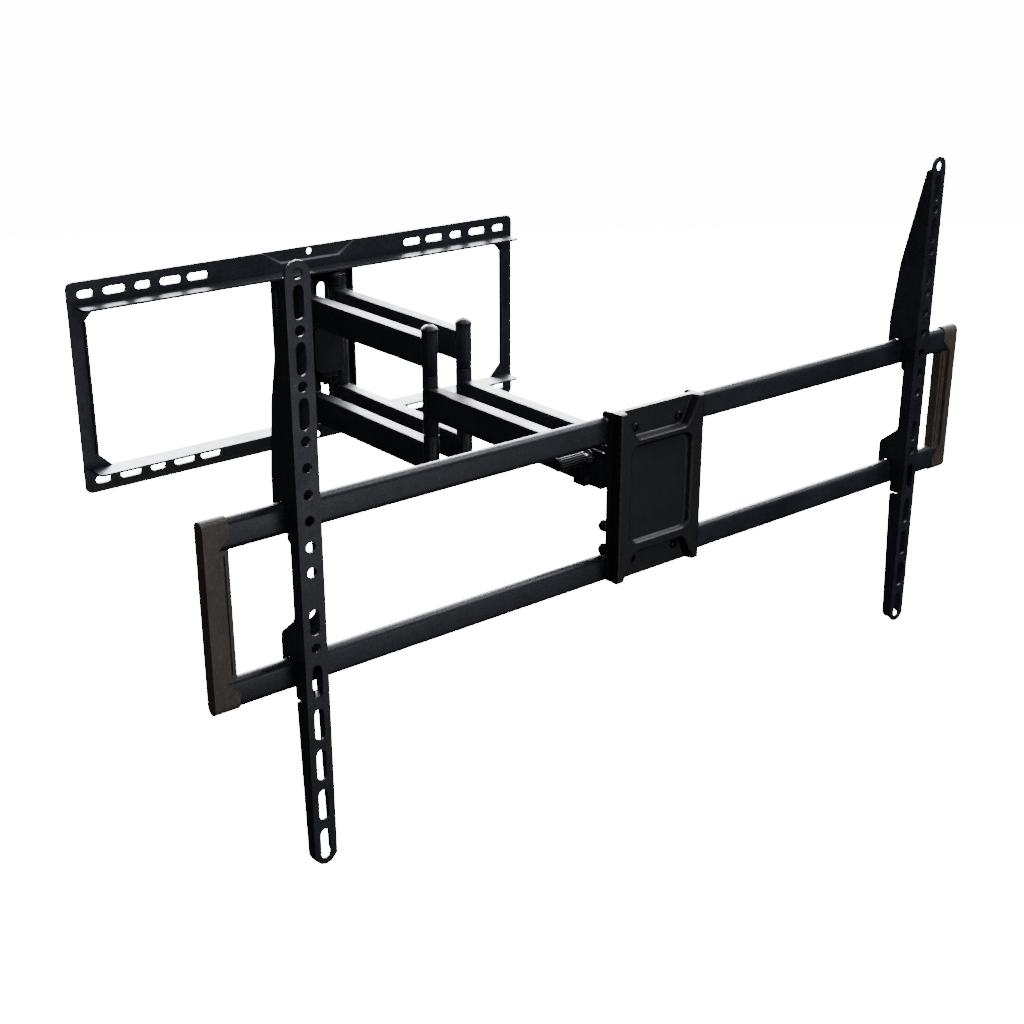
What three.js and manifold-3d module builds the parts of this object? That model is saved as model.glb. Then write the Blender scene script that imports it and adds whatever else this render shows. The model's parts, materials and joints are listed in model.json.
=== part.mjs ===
// Full-motion wall mount for a large flat television.
// Millimetres, +Z up, +Y into the wall, +X to the right as seen from the room.
// The origin is the middle of the wall plate's back face.
// The arms are drawn fully extended, with the screen side facing -Y.

import * as THREE from "three";
import { mergeVertices } from "three/addons/utils/BufferGeometryUtils.js";
import Module from "manifold-3d";

const wasm = await Module();
wasm.setup();

// ---------------------------------------------------------------- sizes

// Fits
const TOUCH = 0.3; // between pieces that rest on each other
const RUN = 0.5; // between faces that turn on each other
const BORE_PLAY = 0.05; // round a pin that turns in its bore
const OPEN_PLAY = 0.3; // round the pin of the right front pivot

// Wall plate
const PLATE_WIDTH = 730;
const PLATE_HEIGHT = 287;
const PLATE_CORNER = 9;
const RAIL_WEB = 34;
const RAIL_SHEET = 4;
const RAIL_FLANGE = 34;
const RAIL_FLANGE_SHEET = 3;
const RAIL_FLANGE_CUTBACK = 9;
const END_BAR_WIDTH = 22;
const END_BAR_SHEET = 3;
const END_BAR_LIP = 7;
const GUSSET = 19;
const SLOT_WIDTH = 10;
const SHORT_SLOT = 23;
const LONG_SLOT = 32;
const SLOT_FIRST = 177; // centre of the innermost slot
const SLOT_PITCH = 40.5;
const SLOTS_PER_SIDE = 5;
const CENTRE_HOLE_R = 4.5;
const POCKET_DEPTH = 2;
const POCKET_TOP_HALF = 78;
const POCKET_LOW_HALF = 46;
const POCKET_HEIGHT = 17;
const POCKET_BEVEL = 3;

// Middle column of the wall plate
const COLUMN_WIDTH = 130;
const COLUMN_SHEET = 4;
const COLUMN_LIP = 13;
const COLUMN_LIP_SHEET = 3;
const WINDOW_WIDTH = 16;
const WINDOW_HEIGHT = 44;
const WINDOW_X = 15;
const WINDOW_CORNER = 7;
const UPPER_WINDOW_Z = 68;
const LOWER_WINDOW_Z = -71;

// Arms
const ARM_Z = -6; // height of the arms' middle plane
const ARM_X = 27; // each arm's distance from the middle plane
const WALL_PIVOT_Y = -28;
const LINK_LENGTH = 295;
const TUBE_WIDTH = 20;
const TUBE_HEIGHT = 40;
const TUBE_WALL = 2;
const TUBE_CORNER = 2.5;
const REAR_TUBE_RISE = 70; // rear link's tubes above and below the middle plane
const WALL_POST_R = 12.5;
const WALL_POST_HEIGHT = 188;
const WALL_PIN_R = 6;
const UPPER_FIXED_KNUCKLE = 14;
const LOWER_FIXED_KNUCKLE = 5;
const FIN_SHEET = 6;
const ELBOW_R = 10.5;
const ELBOW_PIN_R = 5;
const ELBOW_HEIGHT = 194;
const MIDDLE_KNUCKLE = 80;
const ELBOW_CAP_R = 11.6;
const ELBOW_CAP_HEIGHT = 8;
const FRONT_TUBE_RISE = 4; // front link's tube above the arms' middle plane
const WELD_GAP = 0.05; // between a tube's coped end and the barrel it is welded to

// Bracket that holds the wall pivots, and the cover between the posts
const PIVOT_WEB_SHEET = 4;
const PIVOT_WEB_HALF = 46;
const BOLT_HEAD_R = 9;
const BOLT_HEAD_HEIGHT = 5;
const NUT_HEIGHT = 3.2;
const COVER_HALF_WIDTH = 24;
const COVER_TOP = 41;
const COVER_BOTTOM = -33;
const COVER_SHEET = 4;
const COVER_CORNER = 11;
const COVER_STEM_HALF = 11;
const COVER_TAB_HALF = 13;
const COVER_TAB_DROP = 16;
const HUB_SCREW_X = 7;

// Yoke and swivel
const YOKE_SHEET = 3.5;
const YOKE_MARGIN = 11;
const YOKE_CLEAR = 1; // between a front knuckle and the yoke's web
const SWIVEL_REACH = 28; // from the front pivots to the swivel pin
const SWIVEL_BARREL_R = 11;
const SWIVEL_PIN_R = 6;
const SWIVEL_BARREL = 43;
const SWIVEL_RISE = 15; // middle of the swivel barrel above the arms' middle plane
const SWIVEL_PLATE = 4;
const SWIVEL_EAR_R = 11;
const SWIVEL_HALF_WIDTH = 46;
const SWIVEL_BOX_BACK = 3.5; // from the swivel pin to the back edge of the box's sides
const SWIVEL_BOX_DEPTH = 20;

// Tilt and level
const TILT_REACH = 38; // from the front pivots to the tilt axis
const TILT_Z = 21;
const CHEEK_SHEET = 3.5;
const CHEEK_R = 11;
const TILT_WEB_SHEET = 4;
const TILT_WEB_TOP = 29;
const TILT_WEB_BOTTOM = -64;
const TILT_BOLT_R = 4;
const TILT_BOLT_HEAD_R = 8;
const LEVEL_BOLT_R = 6;
const LEVEL_Z = -14;
const LEVEL_GAP = 1;
const KNOB_R = 8.5;
const KNOB_LENGTH = 40;
const KNOB_GAP = 10; // bare bolt between the cheek and the knob
const KNOB_RIBS = 10;
const KNOB_GROOVE = 1;

// Screen frame
const FRAME_REACH = 72.3; // from the front pivots to the tubes' middle plane
const FRAME_Z = -19.4;
const FRAME_TUBE_LENGTH = 1103;
const FRAME_TUBE_DEPTH = 14;
const FRAME_TUBE_HEIGHT = 32;
const FRAME_TUBE_SPACING = 162;
const FRAME_TUBE_WALL = 2;
const CAP_WIDTH = 27;
const CAP_OVER = 1.8; // cap's wall over the tube
const CAP_END_WALL = 4;
const CAP_STEP = 3.2;
const CAP_STEP_WIDTH = 15;

// Head plate and its cover
const HEAD_WIDTH = 127;
const HEAD_TOP = 86;
const HEAD_BOTTOM = -112;
const HEAD_REACH = 8; // from the tubes' front to the plate's front face
const HEAD_SHEET = 3;
const LUG_REACH = 9; // from the tubes' front to the back of the flanges' lugs
const FLANGE_DEPTH = 7.5;
const COVER_BASE = 3.2;
const COVER_RAISE = 11;
const COVER_PANEL_RAISE = 6;
const PANEL_WIDTH = 93;
const PANEL_TOP = 47;
const PANEL_BOTTOM = -69;
const PANEL_CORNER = 12;
const NOTCH_OUTER_HALF = 57;
const NOTCH_INNER_HALF = 41;
const NOTCH_DEPTH = 31;
const HEAD_SCREW_X = 33;
const HEAD_SCREW_INSET = 21.5;
const HEAD_SCREW_R = 4.6;
const HEAD_SCREW_SHANK_R = 2.4;
const HEAD_SCREW_HEAD = 3;
const SIDE_BOLT_R = 7;
const SIDE_BOLT_HEAD = 6;
const SIDE_BOLT_UP = -47;
const SIDE_BOLT_DOWN = -75;

// Screen brackets
const BRACKET_X = 455;
const BRACKET_WIDTH = 26;
const BRACKET_SHEET = 2.5;
const BRACKET_TOP = 309;
const BRACKET_BOTTOM = -311;
const BRACKET_FLANGE_TOP = 294;
const BRACKET_FLANGE_BOTTOM = -303;
const BRACKET_STAND = 20.7; // from the tubes' front to the bracket's front
const BRACKET_BACK = 9; // from the tubes' back to the back of the hooks
const BRACKET_HOLE_R = 5.4;
const BRACKET_SLOT_WIDTH = 11;
const LOCK_SCREW_R = 3;
const LOCK_HEAD_R = 5;

// ---------------------------------------------------------- derived sizes

const EDGE = PLATE_WIDTH / 2;
const TOP = PLATE_HEIGHT / 2;
const RAIL_INNER = TOP - RAIL_WEB; // inner side of each rail's web
const ELBOW_Y = WALL_PIVOT_Y - LINK_LENGTH;
const FRONT_Y = ELBOW_Y - LINK_LENGTH;
const SWIVEL_Y = FRONT_Y - SWIVEL_REACH;
const TILT_Y = FRONT_Y - TILT_REACH;
const FRAME_Y = FRONT_Y - FRAME_REACH;
const TUBES_FRONT = FRAME_Y - FRAME_TUBE_DEPTH / 2;
const TUBES_BACK = FRAME_Y + FRAME_TUBE_DEPTH / 2;
const UPPER_Z = FRAME_Z + FRAME_TUBE_SPACING / 2;
const LOWER_Z = FRAME_Z - FRAME_TUBE_SPACING / 2;
const HALF_TUBE = FRAME_TUBE_HEIGHT / 2;
const BRACKET_FRONT = TUBES_FRONT - BRACKET_STAND;
const HEAD_FRONT = TUBES_FRONT - HEAD_REACH;

// ------------------------------------------------------------- materials

const steel = new THREE.MeshStandardMaterial({ color: 0x101113, roughness: 0.5, metalness: 0.6 });
const plastic = new THREE.MeshStandardMaterial({ color: 0x1d1b1a, roughness: 0.45, metalness: 0 });
const zinc = new THREE.MeshStandardMaterial({ color: 0xb9bcc0, roughness: 0.35, metalness: 1 });

// --------------------------------------------------------------- helpers

const mount = new THREE.Group();

// A closed three.js geometry as a solid that can be joined and cut.
function solid(geometry) {
  const bare = new THREE.BufferGeometry();
  bare.setAttribute("position", geometry.getAttribute("position"));
  bare.setIndex(geometry.getIndex());
  const merged = mergeVertices(bare, 1e-4);
  return new wasm.Manifold(
    new wasm.Mesh({
      numProp: 3,
      vertProperties: merged.getAttribute("position").array,
      triVerts: new Uint32Array(merged.getIndex().array),
    }),
  );
}

function join(...solids) {
  return solids.reduce((whole, s) => whole.add(s));
}

function cut(base, ...tools) {
  return tools.reduce((whole, s) => whole.subtract(s), base);
}

// A named mesh made from a solid.
function piece(name, shape, material = steel) {
  const m = shape.getMesh();
  const geometry = new THREE.BufferGeometry();
  geometry.setAttribute("position", new THREE.BufferAttribute(m.vertProperties, m.numProp));
  geometry.setIndex(new THREE.BufferAttribute(m.triVerts, 1));
  const flat = geometry.toNonIndexed();
  flat.computeVertexNormals();
  const mesh = new THREE.Mesh(flat, material);
  mesh.name = name;
  mount.add(mesh);
}

// Corner points [x, y, radius] as an outline whose corners are rounded by their radius.
function outline(corners, step = 30) {
  const points = [];
  corners.forEach(([x, y, radius], i) => {
    const at = new THREE.Vector2(x, y);
    if (!radius) {
      points.push(at);
      return;
    }
    const n = corners.length;
    const before = new THREE.Vector2(...corners[(i + n - 1) % n]).sub(at).normalize();
    const after = new THREE.Vector2(...corners[(i + 1) % n]).sub(at).normalize();
    const between = Math.acos(THREE.MathUtils.clamp(before.dot(after), -1, 1));
    const turn = Math.PI - between;
    const middle = before.clone().add(after).normalize();
    const centre = at.clone().addScaledVector(middle, radius / Math.sin(between / 2));
    const start = at.clone().addScaledVector(before, radius / Math.tan(between / 2));
    const side = Math.sign(-before.cross(after));
    const count = Math.max(1, Math.round(THREE.MathUtils.radToDeg(turn) / step));
    for (let k = 0; k <= count; k++) {
      points.push(start.clone().rotateAround(centre, (side * turn * k) / count));
    }
  });
  return points;
}

function circle(x, y, r, sides = 16) {
  return Array.from({ length: sides }, (_, k) => {
    const a = ((k + 0.5) * 2 * Math.PI) / sides;
    return new THREE.Vector2(x + r * Math.cos(a), y + r * Math.sin(a));
  });
}

// A hole whose flats clear a round bar of radius r.
function bore(x, y, r, sides = 16) {
  return circle(x, y, r / Math.cos(Math.PI / sides), sides);
}

function box2(x0, y0, x1, y1, r = 0, step = 30) {
  return outline([[x0, y0, r], [x1, y0, r], [x1, y1, r], [x0, y1, r]], step);
}

// A slot of the given overall length along x (or along y when tall).
function slot(x, y, length, width, tall = false, step = 45) {
  const w = tall ? width : length;
  const h = tall ? length : width;
  return box2(x - w / 2, y - h / 2, x + w / 2, y + h / 2, width / 2 - 0.01, step);
}

function prism(points, holes, depth) {
  const shape = new THREE.Shape(points);
  holes.forEach((h) => shape.holes.push(new THREE.Path(h)));
  return new THREE.ExtrudeGeometry(shape, { depth, bevelEnabled: false, steps: 1 });
}

// Plates: an outline given in two world axes and a pair of limits along the third.
function alongZ(points, z0, z1, holes = []) {
  return solid(prism(points, holes, z1 - z0).translate(0, 0, z0));
}

function alongY(points, y0, y1, holes = []) {
  return solid(prism(points, holes, y1 - y0).rotateX(Math.PI / 2).translate(0, y1, 0));
}

function alongX(points, x0, x1, holes = []) {
  const turn = new THREE.Matrix4().makeBasis(
    new THREE.Vector3(0, 1, 0),
    new THREE.Vector3(0, 0, 1),
    new THREE.Vector3(1, 0, 0),
  );
  return solid(prism(points, holes, x1 - x0).applyMatrix4(turn).translate(x0, 0, 0));
}

function block(x0, x1, y0, y1, z0, z1) {
  const box = new THREE.BoxGeometry(x1 - x0, y1 - y0, z1 - z0);
  return solid(box.translate((x0 + x1) / 2, (y0 + y1) / 2, (z0 + z1) / 2));
}

// Round bars along each axis.
function rodZ(x, y, r, z0, z1, sides = 20) {
  return alongZ(circle(x, y, r, sides), z0, z1);
}

function rodX(y, z, r, x0, x1, sides = 16) {
  return alongX(circle(y, z, r, sides), x0, x1);
}

function rodY(x, z, r, y0, y1, sides = 16) {
  return alongY(circle(x, z, r, sides), y0, y1);
}

// A turned piece about a vertical axis: profile points are [radius, height].
function turned(profile, x, y, z, sides = 20) {
  const points = profile.map(([r, h]) => new THREE.Vector2(r, h));
  const lathe = new THREE.LatheGeometry(points, sides);
  return solid(lathe.rotateX(Math.PI / 2).translate(x, y, z));
}

// A solid between two outlines with the same number of points, at y0 and y1.
function loftY(nearWall, yNear, farWall, yFar) {
  const n = nearWall.length;
  const positions = [];
  nearWall.forEach((p) => positions.push(p.x, yNear, p.y));
  farWall.forEach((p) => positions.push(p.x, yFar, p.y));
  const index = [];
  THREE.ShapeUtils.triangulateShape(nearWall, []).forEach(([a, b, c]) => {
    index.push(a, c, b);
    index.push(n + a, n + b, n + c);
  });
  for (let i = 0; i < n; i++) {
    const j = (i + 1) % n;
    index.push(i, j, n + j, i, n + j, n + i);
  }
  const geometry = new THREE.BufferGeometry();
  geometry.setAttribute("position", new THREE.Float32BufferAttribute(positions, 3));
  geometry.setIndex(index);
  return solid(geometry);
}

const sides = { left: -1, right: 1 };

// ------------------------------------------------------------- wall plate

// Slot centres along a rail; long and short slots alternate.
function railSlots(z) {
  const found = [];
  for (let k = 0; k < SLOTS_PER_SIDE; k++) {
    const length = k % 2 || k === 0 ? LONG_SLOT : SHORT_SLOT;
    const x = SLOT_FIRST + k * SLOT_PITCH;
    found.push(slot(x, z, k === SLOTS_PER_SIDE - 1 ? SHORT_SLOT : length, SLOT_WIDTH));
    found.push(slot(-x, z, k === SLOTS_PER_SIDE - 1 ? SHORT_SLOT : length, SLOT_WIDTH));
  }
  return found;
}

// One rail: a slotted web against the wall with a flange turned towards the room.
// up is +1 for the top rail and -1 for the bottom rail.
function rail(up) {
  const outer = up * TOP;
  const inner = up * RAIL_INNER;
  const z0 = Math.min(outer, inner);
  const z1 = Math.max(outer, inner);
  const low = up > 0 ? 0 : PLATE_CORNER;
  const high = up > 0 ? PLATE_CORNER : 0;
  const web = outline([[-EDGE, z0, low], [EDGE, z0, low], [EDGE, z1, high], [-EDGE, z1, high]]);
  const slotZ = inner + (up * RAIL_WEB) / 2;
  const holes = railSlots(slotZ);
  holes.push(circle(0, outer - up * (CENTRE_HOLE_R + 3), CENTRE_HOLE_R));
  let shape = alongY(web, -RAIL_SHEET, 0, holes);
  const fx = EDGE - RAIL_FLANGE_CUTBACK;
  const flange = outline([[-fx, -RAIL_FLANGE, 6], [fx, -RAIL_FLANGE, 6], [fx, 0], [-fx, 0]]);
  const f0 = up > 0 ? inner : inner - RAIL_FLANGE_SHEET;
  shape = join(shape, alongZ(flange, f0, f0 + RAIL_FLANGE_SHEET));
  const edge = outer + up;
  const floor = outer - up * POCKET_HEIGHT;
  const ring = (grow) => {
    const a = new THREE.Vector2(-POCKET_LOW_HALF - grow, floor - up * grow);
    const b = new THREE.Vector2(POCKET_LOW_HALF + grow, floor - up * grow);
    const c = new THREE.Vector2(POCKET_TOP_HALF + grow, edge);
    const d = new THREE.Vector2(-POCKET_TOP_HALF - grow, edge);
    return up > 0 ? [a, b, c, d] : [d, c, b, a];
  };
  const lip = (POCKET_BEVEL * (RAIL_SHEET - POCKET_DEPTH + POCKET_DEPTH * 1.5)) / RAIL_SHEET;
  return cut(shape, loftY(ring(0), -RAIL_SHEET + POCKET_DEPTH, ring(lip), -RAIL_SHEET - 1));
}

piece("wall_top_rail", rail(1));
piece("wall_bottom_rail", rail(-1));

// End bars: upright straps with a corner gusset at each end and a lip on the inner edge.
for (const [name, s] of Object.entries(sides)) {
  const inner = EDGE - END_BAR_WIDTH;
  const z = RAIL_INNER;
  const points = [
    [s * EDGE, -z],
    [s * EDGE, z],
    [s * (inner - GUSSET), z],
    [s * inner, z - GUSSET],
    [s * inner, -z + GUSSET],
    [s * (inner - GUSSET), -z],
  ];
  const strap = alongY(outline(s > 0 ? points : points.reverse()), -END_BAR_SHEET, 0);
  const lipX = [s * inner, s * (inner + END_BAR_SHEET)].sort((a, b) => a - b);
  const lip = block(lipX[0], lipX[1], -END_BAR_LIP, 0, -z + GUSSET, z - GUSSET);
  piece("wall_end_bar_" + name, join(strap, lip));
}

// Middle column: a channel with a window above and below the cover.
const columnHalf = COLUMN_WIDTH / 2;
// Windows stand in pairs: [middle x, middle z], with round or square upper corners.
function windows(z, margin, round) {
  const w = WINDOW_WIDTH / 2 + margin;
  const h = WINDOW_HEIGHT / 2 + margin;
  return [-WINDOW_X, WINDOW_X].map((x) => {
    return outline([[x - w, z - h, 2], [x + w, z - h, 2], [x + w, z + h, round], [x - w, z + h, round]]);
  });
}
const columnWindows = [
  ...windows(UPPER_WINDOW_Z, 0, WINDOW_CORNER),
  ...windows(LOWER_WINDOW_Z, 0, 2),
];
const columnWeb = box2(-columnHalf, -RAIL_INNER, columnHalf, RAIL_INNER);
const columnLip = (s) => {
  const a = s * columnHalf;
  const b = s * (columnHalf - COLUMN_LIP_SHEET);
  return block(Math.min(a, b), Math.max(a, b), -COLUMN_LIP, 0, -RAIL_INNER, RAIL_INNER);
};
piece(
  "wall_centre_column",
  join(alongY(columnWeb, -COLUMN_SHEET, 0, columnWindows), columnLip(-1), columnLip(1)),
);

// Pivot bracket: a web on the column, and for each arm an upright fin that carries
// a fixed knuckle above and below the wall post.
const postTop = ARM_Z + WALL_POST_HEIGHT / 2;
const postBottom = ARM_Z - WALL_POST_HEIGHT / 2;
const fixedTop = postTop + RUN;
const fixedBottom = postBottom - RUN;
const pivotTop = fixedTop + UPPER_FIXED_KNUCKLE;
const pivotBottom = fixedBottom - LOWER_FIXED_KNUCKLE;
const webBack = -COLUMN_SHEET;
const webFront = webBack - PIVOT_WEB_SHEET;
const pivotWeb = box2(-PIVOT_WEB_HALF, pivotBottom, PIVOT_WEB_HALF, RAIL_INNER - 1);
const webWindows = [
  ...windows(UPPER_WINDOW_Z, 0.5, WINDOW_CORNER),
  ...windows(LOWER_WINDOW_Z, 0.5, 2),
];
let pivotBracket = alongY(pivotWeb, webFront, webBack, webWindows);
const finSide = outline([
  [WALL_PIVOT_Y, pivotTop],
  [WALL_PIVOT_Y, fixedTop],
  [WALL_PIVOT_Y + WALL_POST_R + RUN, fixedTop],
  [WALL_PIVOT_Y + WALL_POST_R + RUN, fixedBottom],
  [WALL_PIVOT_Y, fixedBottom],
  [WALL_PIVOT_Y, pivotBottom],
  [webFront, pivotBottom],
  [webFront, pivotTop],
]);
for (const s of Object.values(sides)) {
  const x = s * ARM_X;
  pivotBracket = join(
    pivotBracket,
    alongX(finSide, x - FIN_SHEET / 2, x + FIN_SHEET / 2),
    rodZ(x, WALL_PIVOT_Y, WALL_POST_R, fixedTop, pivotTop),
    rodZ(x, WALL_PIVOT_Y, WALL_POST_R, pivotBottom, fixedBottom),
  );
  const clear = alongZ(bore(x, WALL_PIVOT_Y, WALL_PIN_R + BORE_PLAY), pivotBottom - 1, pivotTop + 1);
  pivotBracket = cut(pivotBracket, clear);
}
piece("wall_pivot_bracket", pivotBracket);

// Plastic cover in front of the posts, on a stem that passes between them.
const coverFront = WALL_PIVOT_Y - WALL_POST_R - 2;
const coverFace = coverFront - COVER_SHEET;
const coverPlan = (inset) => {
  const w = COVER_HALF_WIDTH - inset;
  return box2(-w, COVER_BOTTOM + inset, w, COVER_TOP - inset, COVER_CORNER - inset);
};
const tabLow = COVER_BOTTOM - COVER_TAB_DROP;
const hubScrewZ = COVER_BOTTOM - COVER_TAB_DROP / 2;
const hubScrewHoles = [-HUB_SCREW_X, HUB_SCREW_X].map((x) => bore(x, hubScrewZ, 2 + TOUCH, 12));
const tabPlan = box2(-COVER_TAB_HALF, tabLow, COVER_TAB_HALF, COVER_BOTTOM + 12, 2);
piece(
  "wall_hub_cover",
  cut(
    join(
      alongY(coverPlan(0), coverFace + 1.5, coverFront),
      loftY(coverPlan(0), coverFace + 1.5, coverPlan(1.5), coverFace),
      block(-COVER_STEM_HALF, COVER_STEM_HALF, coverFront - 1, webFront, tabLow + 2, COVER_TOP - 8),
      alongY(tabPlan, coverFront - 2, coverFront),
    ),
    ...hubScrewHoles.map((hole) => alongY(hole, coverFront - 3, coverFront + 6 + TOUCH)),
  ),
  plastic,
);
for (const [name, s] of Object.entries(sides)) {
  const x = s * HUB_SCREW_X;
  const face = coverFront - 2;
  piece(
    "hub_screw_" + name,
    join(rodY(x, hubScrewZ, 4, face - 3, face, 12), rodY(x, hubScrewZ, 2, face, coverFront + 6, 10)),
    zinc,
  );
}

// ------------------------------------------------------------------- arms

// A hollow rectangular tube along Y.
function squareTube(x, z, y0, y1) {
  const w = TUBE_WIDTH / 2;
  const h = TUBE_HEIGHT / 2;
  const t = TUBE_WALL;
  const outer = box2(x - w, z - h, x + w, z + h, TUBE_CORNER, 45);
  const inner = box2(x - w + t, z - h + t, x + w - t, z + h - t);
  return alongY(outer, y0, y1, [inner]);
}

function barrel(x, y, r, hole, z0, z1) {
  return alongZ(circle(x, y, r, 20), z0, z1, [bore(x, y, hole)]);
}

const elbowTop = ARM_Z + ELBOW_HEIGHT / 2;
const elbowBottom = ARM_Z - ELBOW_HEIGHT / 2;
const middleTop = ARM_Z + MIDDLE_KNUCKLE / 2;
const middleBottom = ARM_Z - MIDDLE_KNUCKLE / 2;
const frontZ = ARM_Z + FRONT_TUBE_RISE;
const frontTop = frontZ + TUBE_HEIGHT / 2;
const frontBottom = frontZ - TUBE_HEIGHT / 2;
const frontPinPlay = { left: BORE_PLAY, right: OPEN_PLAY };

for (const [name, s] of Object.entries(sides)) {
  const x = s * ARM_X;
  // Rear link: a wall post, two tubes and the elbow's outer knuckles.
  const postSkin = rodZ(x, WALL_PIVOT_Y, WALL_POST_R + WELD_GAP, postBottom - 5, postTop + 5);
  const elbowSkin = rodZ(x, ELBOW_Y, ELBOW_R + WELD_GAP, elbowBottom - 5, elbowTop + 5);
  for (const [level, rise] of [["upper", REAR_TUBE_RISE], ["lower", -REAR_TUBE_RISE]]) {
    const tube = squareTube(x, ARM_Z + rise, ELBOW_Y + 2, WALL_PIVOT_Y - 2);
    const coped = cut(tube, postSkin, elbowSkin);
    piece(name + "_rear_tube_" + level, coped);
  }
  piece(
    name + "_wall_post",
    barrel(x, WALL_PIVOT_Y, WALL_POST_R, WALL_PIN_R + BORE_PLAY, postBottom, postTop),
  );
  const elbowBore = ELBOW_PIN_R + BORE_PLAY;
  const upperKnuckle = barrel(x, ELBOW_Y, ELBOW_R, elbowBore, middleTop + RUN, elbowTop);
  const lowerKnuckle = barrel(x, ELBOW_Y, ELBOW_R, elbowBore, elbowBottom, middleBottom - RUN);
  piece(name + "_elbow_knuckle_upper", upperKnuckle);
  piece(name + "_elbow_knuckle_lower", lowerKnuckle);
  piece(name + "_elbow_pin", rodZ(x, ELBOW_Y, ELBOW_PIN_R, elbowBottom, elbowTop, 14));
  const cap = [
    [0, 0],
    [ELBOW_CAP_R, 0],
    [ELBOW_CAP_R, 2.5],
    [ELBOW_CAP_R - 1.6, 5],
    [ELBOW_CAP_R - 5.5, ELBOW_CAP_HEIGHT],
    [0, ELBOW_CAP_HEIGHT],
  ];
  piece(name + "_elbow_cap_top", turned(cap, x, ELBOW_Y, elbowTop, 18), plastic);
  const underCap = cap.map(([r, h]) => [r, -h]).reverse();
  piece(name + "_elbow_cap_bottom", turned(underCap, x, ELBOW_Y, elbowBottom, 18), plastic);

  // Front link: one tube between the elbow's middle knuckle and the front knuckle.
  const frontSkin = rodZ(x, FRONT_Y, ELBOW_R + WELD_GAP, frontBottom - 5, frontTop + 5);
  const frontTube = squareTube(x, frontZ, FRONT_Y + 2, ELBOW_Y - 2);
  piece(name + "_front_tube", cut(frontTube, elbowSkin, frontSkin));
  piece(
    name + "_elbow_knuckle_middle",
    barrel(x, ELBOW_Y, ELBOW_R, elbowBore, middleBottom, middleTop),
  );
  const frontBore = ELBOW_PIN_R + frontPinPlay[name];
  piece(name + "_front_knuckle", barrel(x, FRONT_Y, ELBOW_R, frontBore, frontBottom, frontTop));

  // Wall pivot pin: a capped head above the fixed knuckle and a nut below the lower one.
  const nut = alongZ(circle(x, WALL_PIVOT_Y, BOLT_HEAD_R, 6), pivotBottom - NUT_HEIGHT, pivotBottom);
  const dome = [
    [0, 0],
    [BOLT_HEAD_R + 2, 0],
    [BOLT_HEAD_R + 2, 2],
    [BOLT_HEAD_R - 3, BOLT_HEAD_HEIGHT],
    [0, BOLT_HEAD_HEIGHT],
  ];
  const shank = rodZ(x, WALL_PIVOT_Y, WALL_PIN_R, pivotBottom - 1, pivotTop + 1, 16);
  piece(name + "_wall_pin", join(shank, turned(dome, x, WALL_PIVOT_Y, pivotTop, 18), nut));
}

// ------------------------------------------------------------- head yoke

const yokeTop = frontTop + RUN;
const yokeBottom = frontBottom - RUN;
const yokeHalf = ARM_X + YOKE_MARGIN;
const yokeWebBack = FRONT_Y - ELBOW_R - YOKE_CLEAR;
const yokeWebFront = yokeWebBack - YOKE_SHEET;
const yokePinHoles = Object.values(sides).map((s) => {
  return bore(s * ARM_X, FRONT_Y, ELBOW_PIN_R + BORE_PLAY);
});
const yokeEar = outline([
  [-yokeHalf, yokeWebFront],
  [yokeHalf, yokeWebFront],
  [yokeHalf, FRONT_Y + YOKE_MARGIN, YOKE_MARGIN - 1],
  [-yokeHalf, FRONT_Y + YOKE_MARGIN, YOKE_MARGIN - 1],
]);
const swivelTop = ARM_Z + SWIVEL_RISE + SWIVEL_BARREL / 2;
const swivelBottom = ARM_Z + SWIVEL_RISE - SWIVEL_BARREL / 2;
const swivelHole = [bore(0, SWIVEL_Y, SWIVEL_PIN_R + BORE_PLAY)];
const swivelBore = alongZ(swivelHole[0], swivelBottom - 1, swivelTop + 1);
piece(
  "head_yoke",
  cut(
    join(
      block(-yokeHalf, yokeHalf, yokeWebFront, yokeWebBack, yokeBottom, yokeTop),
      alongZ(yokeEar, yokeTop, yokeTop + YOKE_SHEET, yokePinHoles),
      alongZ(yokeEar, yokeBottom - YOKE_SHEET, yokeBottom, yokePinHoles),
      block(-9, 9, SWIVEL_Y + 5, yokeWebBack - 1, swivelBottom, swivelTop),
      rodZ(0, SWIVEL_Y, SWIVEL_BARREL_R, swivelBottom, swivelTop),
    ),
    swivelBore,
  ),
);
for (const [name, s] of Object.entries(sides)) {
  const x = s * ARM_X;
  const headZ = yokeTop + YOKE_SHEET;
  const footZ = yokeBottom - YOKE_SHEET;
  piece(
    name + "_front_pin",
    join(
      rodZ(x, FRONT_Y, ELBOW_PIN_R, footZ, headZ, 14),
      rodZ(x, FRONT_Y, 8, headZ, headZ + 3.5, 14),
      rodZ(x, FRONT_Y, 7, footZ - 1, footZ, 14),
    ),
    zinc,
  );
}

// --------------------------------------------------------- swivel bracket

const boxBack = SWIVEL_Y - SWIVEL_BOX_BACK;
const boxFront = boxBack - SWIVEL_BOX_DEPTH;
const boxTop = swivelTop + RUN;
const boxBottom = swivelBottom - RUN;
const w = SWIVEL_HALF_WIDTH;
const t = SWIVEL_PLATE;
const swivelEar = outline([
  [-w, boxFront],
  [w, boxFront],
  [w, boxBack],
  [SWIVEL_EAR_R + 9, boxBack, 8],
  [SWIVEL_EAR_R, SWIVEL_Y + SWIVEL_EAR_R, SWIVEL_EAR_R - 1],
  [-SWIVEL_EAR_R, SWIVEL_Y + SWIVEL_EAR_R, SWIVEL_EAR_R - 1],
  [-SWIVEL_EAR_R - 9, boxBack, 8],
  [-w, boxBack],
]);
const tiltBore = alongX(bore(TILT_Y, TILT_Z, TILT_BOLT_R + BORE_PLAY), -w - 1, w + 1);
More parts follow.
